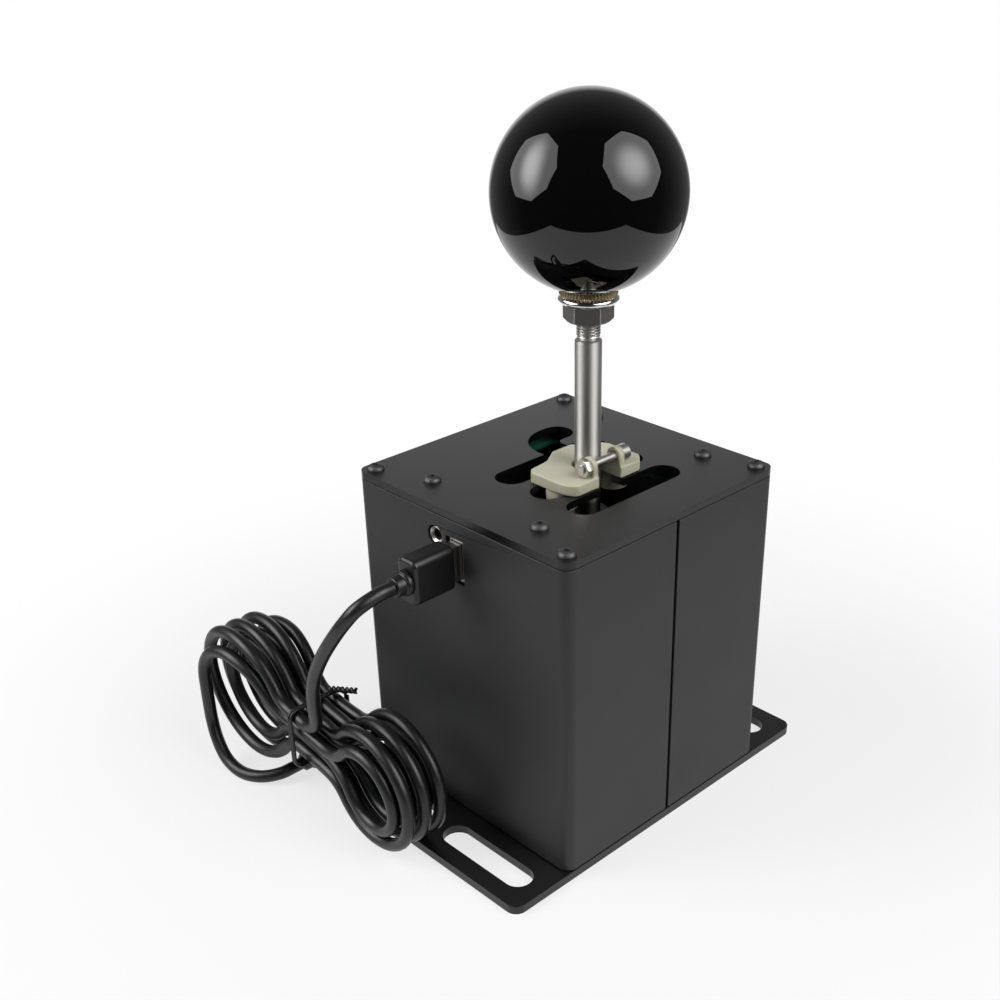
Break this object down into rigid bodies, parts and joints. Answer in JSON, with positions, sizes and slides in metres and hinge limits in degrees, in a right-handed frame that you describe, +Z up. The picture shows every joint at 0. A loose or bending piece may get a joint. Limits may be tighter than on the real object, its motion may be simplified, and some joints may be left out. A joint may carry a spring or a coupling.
{
  "type": "sim racing gear shifter",
  "caption": "Desktop gear shifter for a racing simulator: square sheet-metal housing with a gated top plate, sprung lever with ball knob, sequential slider and tied signal cord.",
  "frame": {"origin": "centre of the base plate's underside", "axes": "+Z up along the lever at rest, +Y along the length of the base plate away from the socket face, +X across the base plate towards the face with the seam that the picture shows"},
  "size_m": [0.1467, 0.1647, 0.2326],
  "materials": {
    "black_paint": "satin",
    "dark_screw": "satin",
    "steel": "brushed",
    "bright_metal": "polished",
    "brass": "knurled",
    "aluminium": "machined",
    "gloss_black": "polished",
    "ivory_plastic": "moulded",
    "board_green": "lacquered",
    "chip_black": "matt",
    "white_plastic": "moulded",
    "cord_black": "satin",
    "magnet": "plated"
  },
  "bodies": {
    "housing": {"base_plate": "black_paint", "front_shell": "black_paint", "rear_shell": "black_paint", "gate_plate": "black_paint", "corner_posts": "steel", "corner_screws": "dark_screw", "base_screws": "dark_screw", "board_screws": "dark_screw", "board_spacers": "steel", "board_nuts": "steel", "circuit_board": "board_green", "board_chips": "chip_black", "gear_sensors": "chip_black", "data_socket": "bright_metal", "socket_tongue": "white_plastic", "jack_body": "chip_black", "jack_ring": "bright_metal", "pivot_bracket": "black_paint", "bracket_screws": "steel", "sway_pins": "steel", "sway_springs": "steel", "plug_shell": "bright_metal", "plug_body": "cord_black", "plug_relief": "cord_black", "cord_lead": "cord_black", "cord_hank": "cord_black", "cord_tie": "cord_black", "tie_ends": "cord_black", "cord_tail": "cord_black", "far_relief": "cord_black", "far_body": "cord_black", "far_shell": "bright_metal"},
    "yoke": {"gimbal_ring": "aluminium", "sway_bushes": "brass", "rock_pin": "steel", "rock_springs": "steel"},
    "lever": {"lever_foot": "aluminium", "rock_bushes": "brass", "lever_rod": "steel", "sensor_magnet": "magnet", "lock_nut": "dark_screw", "knob_collar": "bright_metal", "knob_insert": "brass", "knob": "gloss_black"},
    "sequential_slider": {"slider": "ivory_plastic", "slider_bolt": "bright_metal", "slider_nut": "bright_metal"}
  },
  "joints": [
    {"name": "lever_sway", "type": "hinge", "parent": "housing", "child": "yoke", "pos_m": [0.009, 0.001, 0.036], "axis": [0, 1, 0], "range_deg": [-0.3, 0.3], "stiffness_Nm_per_rad": 8},
    {"name": "lever_rock", "type": "hinge", "parent": "yoke", "child": "lever", "pos_m": [0.009, 0.001, 0.036], "axis": [1, 0, 0], "range_deg": [-4.4, 4.4], "stiffness_Nm_per_rad": 10},
    {"name": "slider_slide", "type": "slide", "parent": "housing", "child": "sequential_slider", "axis": [0, 1, 0], "range_m": [-0.0066, 0.0066]}
  ],
  "couplings": [
    {"joint": "slider_slide", "follows": "lever_rock", "m_per_rad": -0.085}
  ]
}
